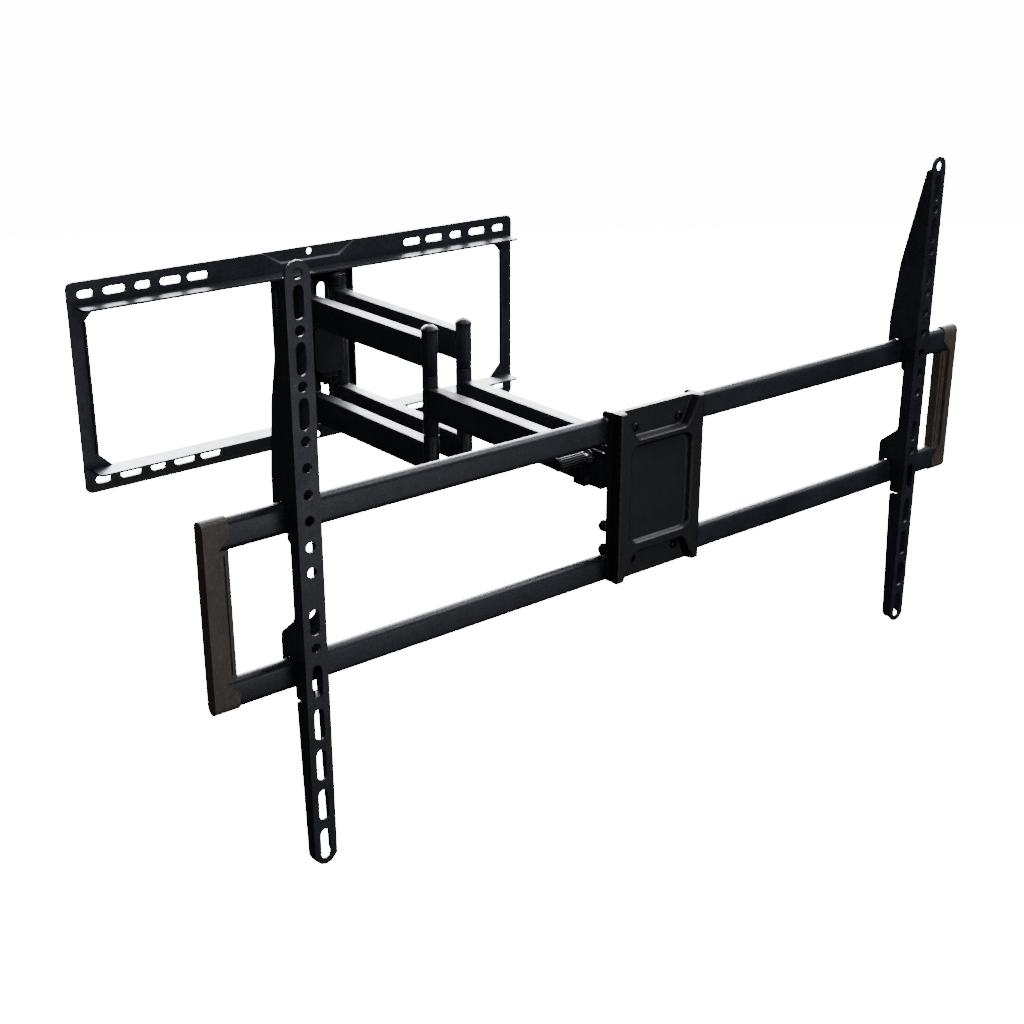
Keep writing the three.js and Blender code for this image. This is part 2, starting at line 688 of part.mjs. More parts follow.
piece(
  "swivel_bracket",
  cut(
    join(
      alongZ(swivelEar, boxTop, boxTop + t, swivelHole),
      alongZ(swivelEar, boxBottom - t, boxBottom, swivelHole),
      block(-w, w, boxFront, boxFront + t, boxBottom - 1, boxTop + 1),
      block(-w, -w + t, boxFront, boxBack, boxBottom - 1, boxTop + 1),
      block(w - t, w, boxFront, boxBack, boxBottom - 1, boxTop + 1),
    ),
    tiltBore,
  ),
);
piece(
  "swivel_pin",
  join(
    rodZ(0, SWIVEL_Y, SWIVEL_PIN_R, boxBottom - t, boxTop + t, 16),
    turned([[0, 0], [9, 0], [9, 2], [6, 4], [0, 4]], 0, SWIVEL_Y, boxTop + t, 16),
    alongZ(circle(0, SWIVEL_Y, 9, 6), boxBottom - t - 4, boxBottom - t),
  ),
  zinc,
);

// ----------------------------------------------------------- tilt bracket

const tiltFront = HEAD_FRONT + HEAD_SHEET + LEVEL_GAP;
const tiltBack = tiltFront + TILT_WEB_SHEET;
const cheekInner = SWIVEL_HALF_WIDTH + 1.5;
const cheekOuter = cheekInner + CHEEK_SHEET;
const cheek = outline([
  [tiltFront, TILT_WEB_BOTTOM],
  [tiltFront, TILT_WEB_TOP],
  [TILT_Y + CHEEK_R, TILT_WEB_TOP + 2, CHEEK_R - 1],
  [TILT_Y + CHEEK_R, TILT_Z - CHEEK_R, CHEEK_R - 2],
  [tiltBack + 5, TILT_Z - 32, 4],
  [tiltBack + 1, TILT_WEB_BOTTOM, 2],
]);
const tiltBoltHole = [bore(TILT_Y, TILT_Z, TILT_BOLT_R + BORE_PLAY)];
const tiltWeb = box2(-cheekOuter, TILT_WEB_BOTTOM, cheekOuter, TILT_WEB_TOP);
const levelHole = bore(0, LEVEL_Z, LEVEL_BOLT_R + BORE_PLAY);
piece(
  "tilt_bracket",
  join(
    alongY(tiltWeb, tiltFront, tiltBack, [levelHole]),
    alongX(cheek.slice().reverse(), -cheekOuter, -cheekInner, tiltBoltHole),
    alongX(cheek.slice().reverse(), cheekInner, cheekOuter, tiltBoltHole),
  ),
);
// Tilt bolts: the right one has a plain head, the left one carries the tension knob.
const boltInner = SWIVEL_HALF_WIDTH - SWIVEL_PLATE - 5;
piece(
  "tilt_bolt_right",
  join(
    rodX(TILT_Y, TILT_Z, TILT_BOLT_R, boltInner, cheekOuter + 1),
    rodX(TILT_Y, TILT_Z, TILT_BOLT_HEAD_R, cheekOuter + 0.2, cheekOuter + 5.5),
    rodX(TILT_Y, TILT_Z, 7, boltInner, boltInner + 4.8, 6),
  ),
  zinc,
);
const knobRight = -cheekOuter - KNOB_GAP;
const knobLeft = knobRight - KNOB_LENGTH;
piece(
  "tilt_bolt_left",
  join(
    rodX(TILT_Y, TILT_Z, TILT_BOLT_R, knobRight + TOUCH, -boltInner),
    rodX(TILT_Y, TILT_Z, TILT_BOLT_HEAD_R, -cheekOuter - 2.2, -cheekOuter - 0.2),
    rodX(TILT_Y, TILT_Z, 7, -boltInner - 4.8, -boltInner, 6),
  ),
  zinc,
);
const ribbed = Array.from({ length: KNOB_RIBS * 2 }, (_, k) => {
  const a = (k * Math.PI) / KNOB_RIBS;
  const r = k % 2 ? KNOB_R - KNOB_GROOVE : KNOB_R;
  return new THREE.Vector2(TILT_Y + r * Math.cos(a), TILT_Z + r * Math.sin(a));
});
piece(
  "tilt_knob",
  join(
    alongX(ribbed, knobLeft + 3, knobRight),
    rodX(TILT_Y, TILT_Z, KNOB_R - 2, knobLeft, knobLeft + 4),
  ),
  plastic,
);

// --------------------------------------------------- head plate and cover

const headHalf = HEAD_WIDTH / 2;
const headBack = HEAD_FRONT + HEAD_SHEET;
const tubesNear = TUBES_FRONT - TOUCH;
const lugBack = TUBES_FRONT + LUG_REACH;
const flangeBack = HEAD_FRONT + FLANGE_DEPTH;
const upTop = UPPER_Z + HALF_TUBE + TOUCH;
const upLow = UPPER_Z - HALF_TUBE - TOUCH;
const loTop = LOWER_Z + HALF_TUBE + TOUCH;
const loLow = LOWER_Z - HALF_TUBE - TOUCH;
const behind = TUBES_BACK + TOUCH;
const headFlange = outline([
  [HEAD_FRONT, HEAD_BOTTOM],
  [HEAD_FRONT, HEAD_TOP],
  [lugBack, HEAD_TOP - 1, 5],
  [lugBack, upTop, 1],
  [tubesNear, upTop],
  [tubesNear, upLow],
  [TUBES_FRONT + 6, upLow, 2],
  [flangeBack, upLow - 24, 4],
  [flangeBack, loTop + 14, 4],
  [lugBack, loTop + 12, 5],
  [lugBack, loTop, 1],
  [tubesNear, loTop],
  [tubesNear, HEAD_BOTTOM],
]);
const headScrewZ = [HEAD_TOP - HEAD_SCREW_INSET, HEAD_BOTTOM + HEAD_SCREW_INSET];
const headScrews = [];
for (const z of headScrewZ) {
  headScrews.push([-HEAD_SCREW_X, z], [HEAD_SCREW_X, z]);
}
const screwHoles = (r) => headScrews.map(([x, z]) => bore(x, z, r, 12));
const headWeb = box2(-headHalf, HEAD_BOTTOM, headHalf, HEAD_TOP);
piece(
  "head_plate",
  join(
    alongY(headWeb, HEAD_FRONT, headBack, [
      ...screwHoles(HEAD_SCREW_SHANK_R + BORE_PLAY),
      levelHole,
    ]),
    alongX(headFlange.slice().reverse(), -headHalf, -headHalf + HEAD_SHEET),
    alongX(headFlange.slice().reverse(), headHalf - HEAD_SHEET, headHalf),
  ),
);

// Level bolt: the head plate turns on it against the tilt bracket.
piece(
  "level_bolt",
  join(
    rodY(0, LEVEL_Z, LEVEL_BOLT_R, HEAD_FRONT, tiltBack + 1),
    rodY(0, LEVEL_Z, 10, tiltBack + 0.3, tiltBack + 5, 6),
  ),
  zinc,
);

// Domed bolts in the head plate's left flange.
const sideBoltY = TUBES_FRONT;
const domeX = -headHalf;
for (const [level, z] of [["upper", SIDE_BOLT_UP], ["lower", SIDE_BOLT_DOWN]]) {
  piece(
    "head_side_bolt_" + level,
    join(
      rodX(sideBoltY, z, SIDE_BOLT_R, domeX - SIDE_BOLT_HEAD / 2, domeX),
      rodX(sideBoltY, z, SIDE_BOLT_R - 2, domeX - SIDE_BOLT_HEAD, domeX - SIDE_BOLT_HEAD / 2),
    ),
  );
}

// Plastic cover: a base skin, a raised frame and a rounded middle panel.
const coverBack = HEAD_FRONT - TOUCH;
const baseFront = coverBack - COVER_BASE;
const rim = baseFront - COVER_RAISE;
const notch = (z, down) => {
  const deep = z - down * NOTCH_DEPTH;
  const out = z + down * 2;
  const points = [
    [-NOTCH_OUTER_HALF, out],
    [-NOTCH_INNER_HALF - 6, deep + down * 12, 8],
    [-NOTCH_INNER_HALF, deep, 5],
    [NOTCH_INNER_HALF, deep, 5],
    [NOTCH_INNER_HALF + 6, deep + down * 12, 8],
    [NOTCH_OUTER_HALF, out],
  ];
  return outline(down > 0 ? points : points.reverse());
};
const panelHalf = PANEL_WIDTH / 2;
const panel = (inset) => {
  const p = panelHalf - inset;
  return box2(-p, PANEL_BOTTOM + inset, p, PANEL_TOP - inset, PANEL_CORNER - inset, 22);
};
const coverPlate = alongY(headWeb, baseFront, coverBack, screwHoles(HEAD_SCREW_SHANK_R + BORE_PLAY));
const coverFrame = cut(
  alongY(box2(-headHalf, HEAD_BOTTOM, headHalf, HEAD_TOP, 1.5), rim, baseFront),
  alongY(notch(HEAD_TOP, 1), rim - 1, baseFront),
  alongY(notch(HEAD_BOTTOM, -1), rim - 1, baseFront),
  loftY(panel(4), baseFront - COVER_PANEL_RAISE, panel(0), rim - 0.01),
);
piece("head_cover", join(coverPlate, coverFrame), plastic);
headScrews.forEach(([x, z], i) => {
  const level = i < 2 ? "top" : "bottom";
  const side = x < 0 ? "left" : "right";
  const head = rodY(x, z, HEAD_SCREW_R, baseFront - HEAD_SCREW_HEAD, baseFront, 16);
  const shank = rodY(x, z, HEAD_SCREW_SHANK_R, baseFront, headBack, 12);
  const socket = rodY(x, z, 2, baseFront - HEAD_SCREW_HEAD - 1, baseFront - 1, 6);
  piece("head_screw_" + level + "_" + side, cut(join(head, shank), socket));
});

// ----------------------------------------------------------- screen frame

// The flat-oval section of the long tubes.
function oval(z, inset, extra = 0) {
  const d = FRAME_TUBE_DEPTH / 2 - inset;
  const h = FRAME_TUBE_HEIGHT / 2 - inset + extra;
  return box2(FRAME_Y - d, z - h, FRAME_Y + d, z + h, d - 0.01, 30);
}
const tubeHalf = FRAME_TUBE_LENGTH / 2;
for (const [level, z] of [["upper", UPPER_Z], ["lower", LOWER_Z]]) {
  const tube = alongX(oval(z, 0), -tubeHalf, tubeHalf, [oval(z, FRAME_TUBE_WALL)]);
  piece("frame_tube_" + level, tube);
}

// End caps: a full-height stadium bar with a socket for each tube and a stepped inner edge.
const capDeep = FRAME_TUBE_DEPTH / 2 + CAP_OVER - 1;
const capTop = UPPER_Z + HALF_TUBE + CAP_OVER;
const capBottom = LOWER_Z - HALF_TUBE - CAP_OVER;
for (const [name, s] of Object.entries(sides)) {
  const outer = tubeHalf + CAP_END_WALL + TOUCH;
  const inner = outer - CAP_WIDTH;
  const span = [s * inner, s * outer].sort((a, b) => a - b);
  const profile = box2(FRAME_Y - capDeep, capBottom, FRAME_Y + capDeep, capTop, capDeep - 0.01, 18);
  const sockets = [UPPER_Z, LOWER_Z].map((z) => {
    const mouth = [s * (inner - 1), s * (tubeHalf + TOUCH)].sort((a, b) => a - b);
    return alongX(oval(z, -TOUCH), mouth[0], mouth[1]);
  });
  const high = UPPER_Z - HALF_TUBE;
  const low = LOWER_Z + HALF_TUBE;
  const stepPoints = [
    [s * (inner - 1), low - 16],
    [s * (inner + CAP_STEP_WIDTH), low],
    [s * (inner + CAP_STEP_WIDTH), high],
    [s * (inner - 1), high + 16],
  ];
  const stepPlan = outline(s > 0 ? stepPoints : stepPoints.reverse());
  const front = FRAME_Y - capDeep;
  const step = alongY(stepPlan, front - 1, front + CAP_STEP);
  piece("end_cap_" + name, cut(alongX(profile, span[0], span[1]), step, ...sockets), plastic);
}

// -------------------------------------------------------- screen brackets

// Heights of the holes and slots in a bracket's face: [centre, slot length], 0 for a hole.
const TOP_HOLE = 297;
const UPPER_PITCH = 51.8;
const HOLE_PITCH = 26.1;
const LOWER_SLOT_PITCH = 45.4;
const facePattern = [[TOP_HOLE, 0]];
for (let k = 0; k < 3; k++) {
  const z = TOP_HOLE - 26 - k * UPPER_PITCH;
  facePattern.push([z, 32], [z - UPPER_PITCH / 2, 0]);
}
for (let k = 1; k <= 5; k++) {
  facePattern.push([TOP_HOLE - 3 * UPPER_PITCH - k * HOLE_PITCH, 0]);
}
facePattern.push([-41, 28], [-68, 0], [-104, 36]);
for (let k = 0; k < 4; k++) {
  facePattern.push([-151 - k * LOWER_SLOT_PITCH, 35]);
}

// A bracket's side flange, from the front face back: deep over the upper tube,
// shallow between the tubes, hooked over the lower tube and tapering below it.
const faceBack = BRACKET_FRONT + BRACKET_SHEET;
const hooks = TUBES_BACK + BRACKET_BACK;
const lowHook = hooks - 1;
const shallow = BRACKET_FRONT + 16;
const flange = outline([
  [BRACKET_FRONT, BRACKET_FLANGE_BOTTOM],
  [BRACKET_FRONT, BRACKET_FLANGE_TOP],
  [BRACKET_FRONT + 8, BRACKET_FLANGE_TOP, 5],
  [hooks - 8, upTop + 95],
  [hooks, upTop + 24],
  [hooks, upTop - 20, 2],
  [behind, upTop - 20],
  [behind, upTop, 6],
  [tubesNear, upTop, 6],
  [tubesNear, upLow - 3],
  [shallow, upLow - 7],
  [shallow, loTop + 44, 10],
  [lowHook, loTop + 22, 10],
  [lowHook, loTop - 12, 2],
  [behind, loTop - 12],
  [behind, loTop, 6],
  [tubesNear, loTop, 6],
  [tubesNear, loLow - 8],
  [faceBack + 2, loLow - 8],
  [faceBack + 2, loLow - 11],
  [BRACKET_FRONT + 20, loLow - 11, 4],
  [BRACKET_FRONT + 13, BRACKET_FLANGE_BOTTOM, 5],
]);
const lockZ = loLow - 4;
for (const [name, s] of Object.entries(sides)) {
  const x = s * BRACKET_X;
  const half = BRACKET_WIDTH / 2;
  const r = half - 0.01;
  const face = outline([
    [x - half, BRACKET_BOTTOM, r],
    [x + half, BRACKET_BOTTOM, r],
    [x + half, BRACKET_TOP, r],
    [x - half, BRACKET_TOP, r],
  ]);
  const holes = facePattern.map(([z, length]) => {
    return length
      ? slot(x, z, length, BRACKET_SLOT_WIDTH, true, 45)
      : circle(x, z, BRACKET_HOLE_R, 12);
  });
  const side = flange.slice().reverse();
  // The lock screw's tab spans the flanges under the lower tube.
  const tab = block(x - half + 1, x + half - 1, faceBack - 1, tubesNear, lockZ - 6, lockZ - 3);
  const lockY = (faceBack + tubesNear) / 2;
  const tapped = alongZ(bore(x, lockY, LOCK_SCREW_R + BORE_PLAY, 12), lockZ - 9, lockZ);
  piece(
    "screen_bracket_" + name,
    cut(
      join(
        alongY(face, BRACKET_FRONT, faceBack, holes),
        alongX(side, x - half, x - half + BRACKET_SHEET),
        alongX(side, x + half - BRACKET_SHEET, x + half),
        tab,
      ),
      tapped,
    ),
  );
  // The lock screw keeps the bracket from lifting off the lower tube.
  const tip = rodZ(x, lockY, LOCK_SCREW_R, lockZ - 8, lockZ + 2, 12);
  const grip = rodZ(x, lockY, LOCK_HEAD_R, lockZ - 17, lockZ - 6 - TOUCH, 14);
  piece("bracket_lock_screw_" + name, join(tip, grip), zinc);
}

export default mount;
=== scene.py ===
"""Looks of the full-motion television wall mount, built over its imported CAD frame."""
import json
import math

import bmesh
import bpy
from mathutils import Matrix, Vector


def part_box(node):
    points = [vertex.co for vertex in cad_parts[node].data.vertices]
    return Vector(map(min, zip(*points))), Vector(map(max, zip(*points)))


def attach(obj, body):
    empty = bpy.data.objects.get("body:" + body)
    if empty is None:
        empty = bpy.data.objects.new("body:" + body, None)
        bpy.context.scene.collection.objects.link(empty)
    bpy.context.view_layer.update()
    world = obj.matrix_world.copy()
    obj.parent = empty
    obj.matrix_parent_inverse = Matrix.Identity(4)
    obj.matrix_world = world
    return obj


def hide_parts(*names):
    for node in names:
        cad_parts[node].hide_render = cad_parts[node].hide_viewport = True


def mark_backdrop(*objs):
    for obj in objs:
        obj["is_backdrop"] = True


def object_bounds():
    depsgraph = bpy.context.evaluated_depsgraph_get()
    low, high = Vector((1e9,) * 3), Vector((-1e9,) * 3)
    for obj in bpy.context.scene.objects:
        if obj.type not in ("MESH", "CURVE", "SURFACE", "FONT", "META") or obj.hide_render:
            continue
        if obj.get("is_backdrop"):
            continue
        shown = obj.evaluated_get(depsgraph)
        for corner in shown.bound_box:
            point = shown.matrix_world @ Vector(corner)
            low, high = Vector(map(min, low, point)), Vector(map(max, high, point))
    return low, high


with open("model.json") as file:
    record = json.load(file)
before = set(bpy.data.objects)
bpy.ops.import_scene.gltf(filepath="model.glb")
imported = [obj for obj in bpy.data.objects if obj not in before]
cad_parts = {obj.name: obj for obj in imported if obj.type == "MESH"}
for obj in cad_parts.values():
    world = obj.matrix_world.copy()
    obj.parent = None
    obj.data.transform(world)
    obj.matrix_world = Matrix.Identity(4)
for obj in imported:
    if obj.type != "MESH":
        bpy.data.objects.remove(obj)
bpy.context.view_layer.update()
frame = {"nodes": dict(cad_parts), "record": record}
NODES = frame["nodes"]
BODIES = frame["record"]["behaviour"]["bodies"]
BODY_OF = {n: body for body, members in BODIES.items() for n in members}
MM = 0.001

# ------------------------------------------------------------------ sizes, in millimetres
ARM_APART = 27
WALL_POST_Y, ELBOW_Y, FRONT_PIVOT_Y = -28, -323, -618
WALL_POST_R, WALL_POST_BORE = 12.5, 6.2
KNUCKLE_R, KNUCKLE_BORE = 10.5, 5.2
CAP_R = 11.1
TUBE_HALF_WIDTH, TUBE_HEIGHT = 10, 40
UPPER_TUBE_FOOT, LOWER_TUBE_FOOT, FRONT_TUBE_FOOT = 44, -96, -22
LONG_TUBE_DEPTH, LONG_TUBE_HEIGHT, LONG_TUBE_WALL = 14, 32, 2
SCREW_ACROSS, SCREW_HEAD_R, SCREW_HEAD_HEIGHT = 66, 5.4, 3.0
KNOB_CORE_R, KNOB_RIB_R, KNOB_RIBS = 7.4, 1.1, 18
PATCHES_PER_METRE = 14.0
DUST_PER_METRE = 70.0
GRAIN_SEED = 7


# ------------------------------------------------------------------ colour and node helpers
def srgb(text):
    """A hex colour as the linear values that the shaders take."""
    values = [int(text[i:i + 2], 16) / 255 for i in (1, 3, 5)]
    linear = [v / 12.92 if v <= 0.04045 else ((v + 0.055) / 1.055) ** 2.4 for v in values]
    return (*linear, 1.0)


def add(tree, kind, sockets=None, **settings):
    """One node: settings are its own options, sockets are values or links by socket name or number."""
    made = tree.nodes.new(kind)
    for key, value in settings.items():
        setattr(made, key, value)
    for key, value in (sockets or {}).items():
        if isinstance(value, bpy.types.NodeSocket):
            tree.links.new(value, made.inputs[key])
        else:
            made.inputs[key].default_value = value
    return made


def fade(tree, value, low, high, to_low=0.0, to_high=1.0):
    """value stretched from low..high to to_low..to_high, and held at the ends."""
    made = add(tree, "ShaderNodeMapRange", {0: value, 1: low, 2: high, 3: to_low, 4: to_high})
    return made.outputs[0]


def blend(tree, amount, a, b):
    """Colour a where amount is 0, colour b where it is 1."""
    return add(tree, "ShaderNodeMix", {0: amount, 6: a, 7: b}, data_type="RGBA").outputs[2]


def finish_material(name, base, dark, wear_and_highlight, grain_mm, speckle_mm, rough, rough_spread,
                    bump, metallic=0.0, specular=0.5, stretch=(1, 1, 1), edge_wear_and_highlight_strength=0.5, speckle=0.5):
    """A finish with fine grain, mid-sized speckle, broad uneven patches and paler rounded edges, partly edge
    wear and partly a painted edge highlight.
    """
    material = bpy.data.materials.new(name)
    material.use_nodes = True
    tree = material.node_tree
    tree.nodes.clear()
    place = add(tree, "ShaderNodeTexCoord").outputs["Object"]
    drawn = add(tree, "ShaderNodeMapping", {"Vector": place, "Scale": stretch}).outputs[0]
    grain = add(tree, "ShaderNodeTexNoise",
                {"Vector": drawn, "Scale": 1000 / grain_mm, "Detail": 2.0, "Roughness": 0.55}).outputs[0]
    spots = add(tree, "ShaderNodeTexNoise",
                {"Vector": drawn, "Scale": 1000 / speckle_mm, "Detail": 3.0, "Roughness": 0.65}).outputs[0]
    patches = add(tree, "ShaderNodeTexNoise",
                  {"Vector": place, "Scale": PATCHES_PER_METRE, "Detail": 4.0, "Roughness": 0.6}).outputs[0]
    dust = add(tree, "ShaderNodeTexNoise",
               {"Vector": place, "Scale": DUST_PER_METRE, "Detail": 5.0, "Roughness": 0.7}).outputs[0]
    edge = add(tree, "ShaderNodeAttribute", attribute_name="edge").outputs["Fac"]

    tone = blend(tree, fade(tree, patches, 0.35, 0.65), srgb(dark), srgb(base))
    light_spots = add(tree, "ShaderNodeMath",
                      {0: fade(tree, spots, 0.56, 0.7), 1: speckle}, operation="MULTIPLY").outputs[0]
    tone = blend(tree, light_spots, tone, srgb(wear_and_highlight))
    # Rounded edges are mixed towards the paler tone, more where the dust noise is high: partly edge wear,
    # partly a painted edge highlight.
    edge_wear_and_highlight = add(tree, "ShaderNodeMath",
                 {0: edge, 1: fade(tree, dust, 0.42, 0.62, 0.12, edge_wear_and_highlight_strength)}, operation="MULTIPLY").outputs[0]
    tone = blend(tree, edge_wear_and_highlight, tone, srgb(wear_and_highlight))

    sheen = fade(tree, patches, 0.3, 0.7, rough - rough_spread, rough + rough_spread)
    sheen = add(tree, "ShaderNodeMath",
                {0: sheen, 1: fade(tree, dust, 0.35, 0.65, -0.03, 0.05)}, operation="ADD").outputs[0]
    sheen = add(tree, "ShaderNodeMath", {0: edge_wear_and_highlight, 1: -0.18, 2: sheen}, operation="MULTIPLY_ADD").outputs[0]

    relief = add(tree, "ShaderNodeMath", {0: spots, 1: 0.6, 2: grain}, operation="MULTIPLY_ADD").outputs[0]
    bumped = add(tree, "ShaderNodeBump", {"Strength": 0.6, "Distance": bump * MM, "Height": relief})
    shader = add(tree, "ShaderNodeBsdfPrincipled",
                 {"Base Color": tone, "Roughness": sheen, "Normal": bumped.outputs[0],
                  "Metallic": metallic, "Specular IOR Level": specular})
    add(tree, "ShaderNodeOutputMaterial", {"Surface": shader.outputs[0]})
    return material


# Powder coat sprayed as dry polyester powder and cured in an oven: the eye gets a near-black with a fine
# orange-peel sparkle, and a slightly greyer, smoother line along the edges: partly handling wear, partly a
# painted edge highlight.
POWDER_COAT = finish_material(
    "Fine-texture black powder coat, oven cured", "#25282e", "#1b1e23", "#545b66",
    grain_mm=0.9, speckle_mm=1.7, rough=0.4, rough_spread=0.07, bump=0.12,
    specular=0.4, edge_wear_and_highlight_strength=0.6, speckle=0.4)
# Head cover, hub cover, elbow caps and knob, injection moulded in ABS against a spark-eroded
# tool face: an even near-black with a soft sheen and a grain finer than the paint's.
MOULDED_ABS = finish_material(
    "Injection-moulded black ABS, spark-eroded grain", "#131314", "#0e0e0f", "#343337",
    grain_mm=0.7, speckle_mm=1.6, rough=0.44, rough_spread=0.05, bump=0.045,
    specular=0.45, edge_wear_and_highlight_strength=0.45, speckle=0.3)
# End caps of the long tubes, moulded in glass-filled nylon: browner and greyer than the paint,
# with the faint cloudy flow marks that the glass fibre leaves.
MOULDED_NYLON = finish_material(
    "Injection-moulded nylon, glass filled, matt", "#554d45", "#433c35", "#7d7368",
    grain_mm=0.8, speckle_mm=2.6, rough=0.5, rough_spread=0.06, bump=0.05,
    specular=0.45, stretch=(1, 1, 0.45), edge_wear_and_highlight_strength=0.5, speckle=0.35)
# Bolts, pins and lock screws, cold headed and zinc plated: a bluish silver with drawn streaks
# round the metal, duller in patches where the plating is thin.
ZINC = finish_material(
    "Bright zinc-plated steel, cold headed", "#b4b8bd", "#8e9399", "#dfe2e6",
    grain_mm=0.5, speckle_mm=1.4, rough=0.3, rough_spread=0.08, bump=0.02,
    metallic=1.0, stretch=(1, 1, 4), edge_wear_and_highlight_strength=0.6, speckle=0.4)
# Cover screws, hub screws and side bolts, dipped hot to a black oxide and oiled: darker and
# shinier than the paint round them, so that each head shows as a glint.
BLACK_OXIDE = finish_material(
    "Black-oxide steel screws, oiled", "#23242a", "#17181b", "#565a61",
    grain_mm=0.4, speckle_mm=1.1, rough=0.27, rough_spread=0.05, bump=0.015,
    metallic=0.75, edge_wear_and_highlight_strength=0.8, speckle=0.25)

FINISH_OF_SLOT = {"steel": POWDER_COAT, "plastic": MOULDED_ABS, "zinc": ZINC}
SLOT_OF = {row["node"]: row["material_slot"] for row in frame["record"]["subparts"]}


# ------------------------------------------------------------------ mesh helpers
def dressed(obj, material, nodes=(), body=None):
    """Gives a finished piece its finish and its place in the mount: it stands for the CAD nodes given."""
    obj.data.materials.clear()
    obj.data.materials.append(material)
    if nodes:
        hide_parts(*nodes)
    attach(obj, body or BODY_OF[nodes[0]])
    return obj


def new_object(name, mesh):
    """Puts a mesh, lamp or camera into the scene."""
    obj = bpy.data.objects.new(name, mesh)
    bpy.context.scene.collection.objects.link(obj)
    return obj


def smooth(mesh, angle=40):
    """Soft shading, with a crease wherever two faces meet at more than the angle."""
    for face in mesh.polygons:
        face.use_smooth = True
    mesh.set_sharp_from_angle(angle=math.radians(angle))


def fixed(obj):
    """The object with its modifiers made real, as a plain mesh of the same name."""
    graph = bpy.context.evaluated_depsgraph_get()
    mesh = bpy.data.meshes.new_from_object(obj.evaluated_get(graph), depsgraph=graph)
    name = obj.name
    bpy.data.objects.remove(obj)
    return new_object(name, mesh)


def mark_edges(mesh):
    """Keeps which faces are rounded edges, so that the finish takes its paler edge tone there: partly wear,
    partly a painted edge highlight.
    """
    wear_and_highlight_marks = mesh.attributes.get("edge") or mesh.attributes.new("edge", "FLOAT", "FACE")
    wear_and_highlight_marks.data.foreach_set("value", [1.0 if f.material_index == 1 else 0.0 for f in mesh.polygons])
    for f in mesh.polygons:
        f.material_index = 0


def copied(node):
    """A clean copy of a CAD node's mesh: shared corners joined and flat faces whole."""
    mesh = NODES[node].data.copy()
    work = bmesh.new()
    work.from_mesh(mesh)
    bmesh.ops.remove_doubles(work, verts=work.verts, dist=0.004 * MM)
    bmesh.ops.dissolve_limit(work, angle_limit=math.radians(0.6), verts=work.verts, edges=work.edges)
    work.to_mesh(mesh)
    work.free()
    for layer in list(mesh.uv_layers):
        mesh.uv_layers.remove(layer)
    for stale in ("sharp_face", "sharp_edge", "custom_normal"):
        if mesh.attributes.get(stale):
            mesh.attributes.remove(mesh.attributes[stale])
    for face in mesh.polygons:
        face.use_smooth = True
    return new_object(node + "_skin", mesh)


def rounded(obj, width, segments=2, angle=38):
    """Rounds every hard edge of a piece by width mm and keeps its flat faces flat."""
    obj.data.materials.clear()
    # Two slots, so that the bevel can leave its own faces in the second one.
    obj.data.materials.append(POWDER_COAT)
    obj.data.materials.append(ZINC)
    bevel = obj.modifiers.new("rounded edges", "BEVEL")
    bevel.width = width * MM
    bevel.segments = segments
    bevel.limit_method = "ANGLE"
    bevel.angle_limit = math.radians(angle)
    bevel.material = 1
    weights = obj.modifiers.new("flat faces", "WEIGHTED_NORMAL")
    weights.mode = "FACE_AREA"
    weights.weight = 100
    obj = fixed(obj)
    mark_edges(obj.data)
    return obj


def skin(name, rings, closed=False):
    """A closed mesh through rings of points, capped at its ends or joined back on itself."""
    work = bmesh.new()
    loops = [[work.verts.new(p) for p in ring] for ring in rings]
    pairs = list(zip(loops, loops[1:] + loops[:1])) if closed else list(zip(loops, loops[1:]))
    for a, b in pairs:
        for i in range(len(a)):
            j = (i + 1) % len(a)
            work.faces.new((a[i], a[j], b[j], b[i]))
    if not closed:
        work.faces.new(reversed(loops[0]))
        work.faces.new(loops[-1])
    bmesh.ops.recalc_face_normals(work, faces=work.faces)
    mesh = bpy.data.meshes.new(name)
    work.to_mesh(mesh)
    work.free()
    smooth(mesh)
    return new_object(name, mesh)


def turned(name, profile, x, y, z=0.0, closed=False, steps=48):
    """A piece turned about an upright axis; the profile is (radius, height) in mm."""
    turn = [2 * math.pi * k / steps for k in range(steps)]
    rings = []
    for r, h in profile:
        rings.append([Vector((x + r * math.cos(a), y + r * math.sin(a), z + h)) * MM for a in turn])
    return skin(name, rings, closed)


